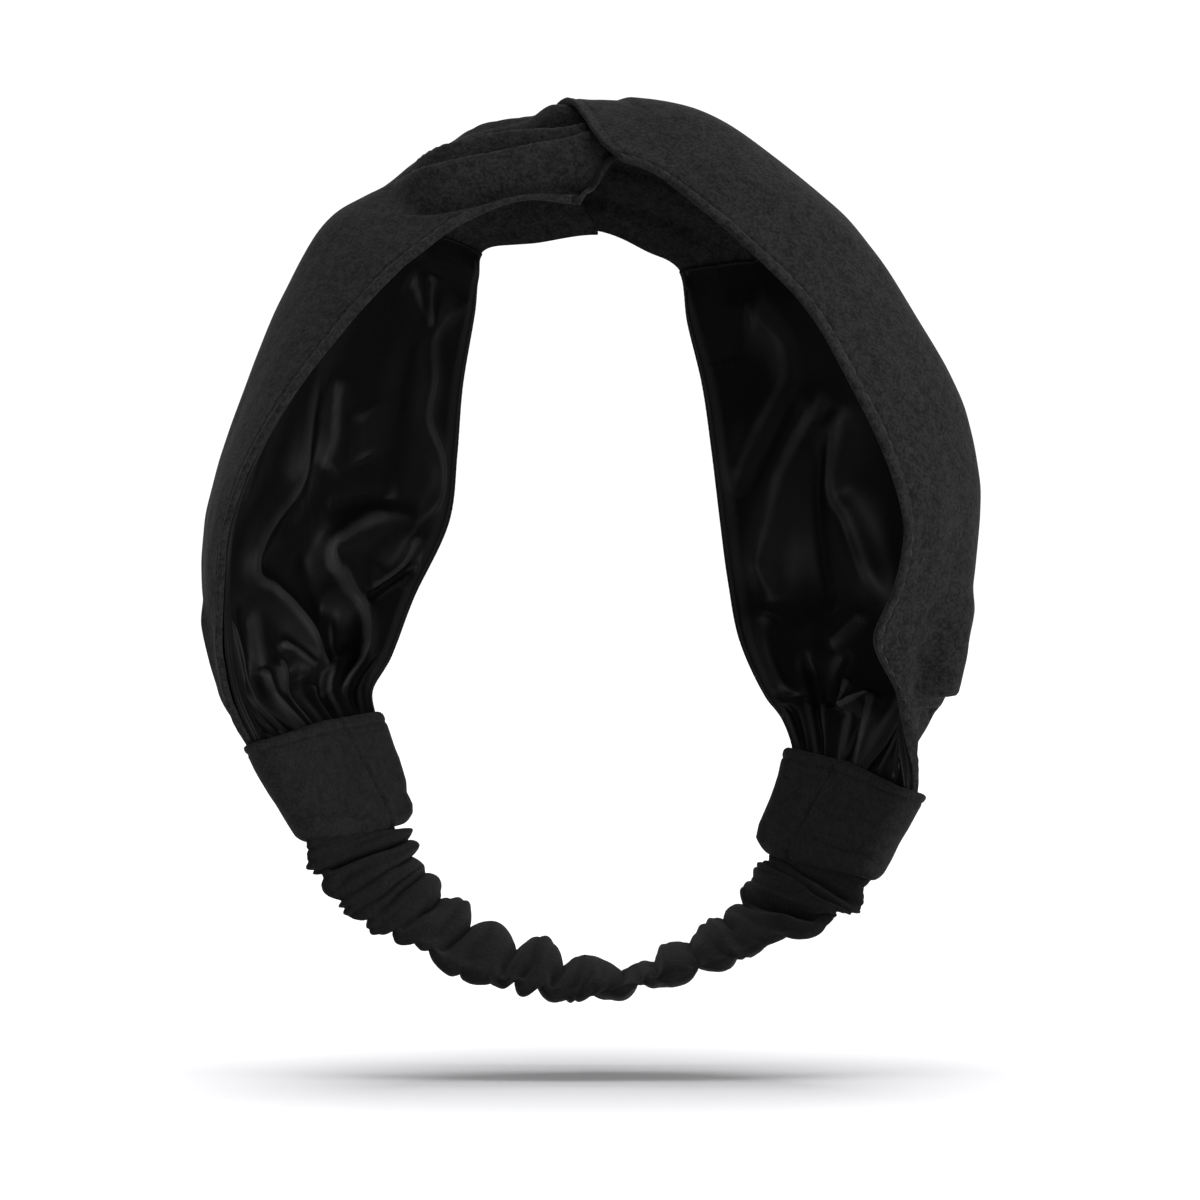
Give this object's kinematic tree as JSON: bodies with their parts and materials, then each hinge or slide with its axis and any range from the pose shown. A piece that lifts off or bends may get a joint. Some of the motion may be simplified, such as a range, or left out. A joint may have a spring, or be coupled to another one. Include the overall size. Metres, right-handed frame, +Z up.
{
  "type": "turban headwrap",
  "caption": "Wide pull-on headwrap of matt cloth lined with satin, its bands crossed in a knot at the crown and gathered into flat cuffs that an elastic casing joins at the nape",
  "frame": {"origin": "where the underside of the knot sits on the crown of a head", "axes": "+Z up from nape to crown, +Y to the back edge of the band, X across the band, with the strand that crosses on top running down to +X"},
  "size_m": [0.1495, 0.0778, 0.1773],
  "materials": {
    "face_cloth": "matt black woven cloth",
    "satin": "black satin with a soft sheen",
    "casing_cloth": "gathered matt black cloth"
  },
  "bodies": {
    "root": {"left_strand": "face_cloth", "right_strand": "face_cloth", "left_lining": "satin", "right_lining": "satin", "left_cuff": "face_cloth", "right_cuff": "face_cloth", "elastic_casing": "casing_cloth"}
  },
  "joints": []
}
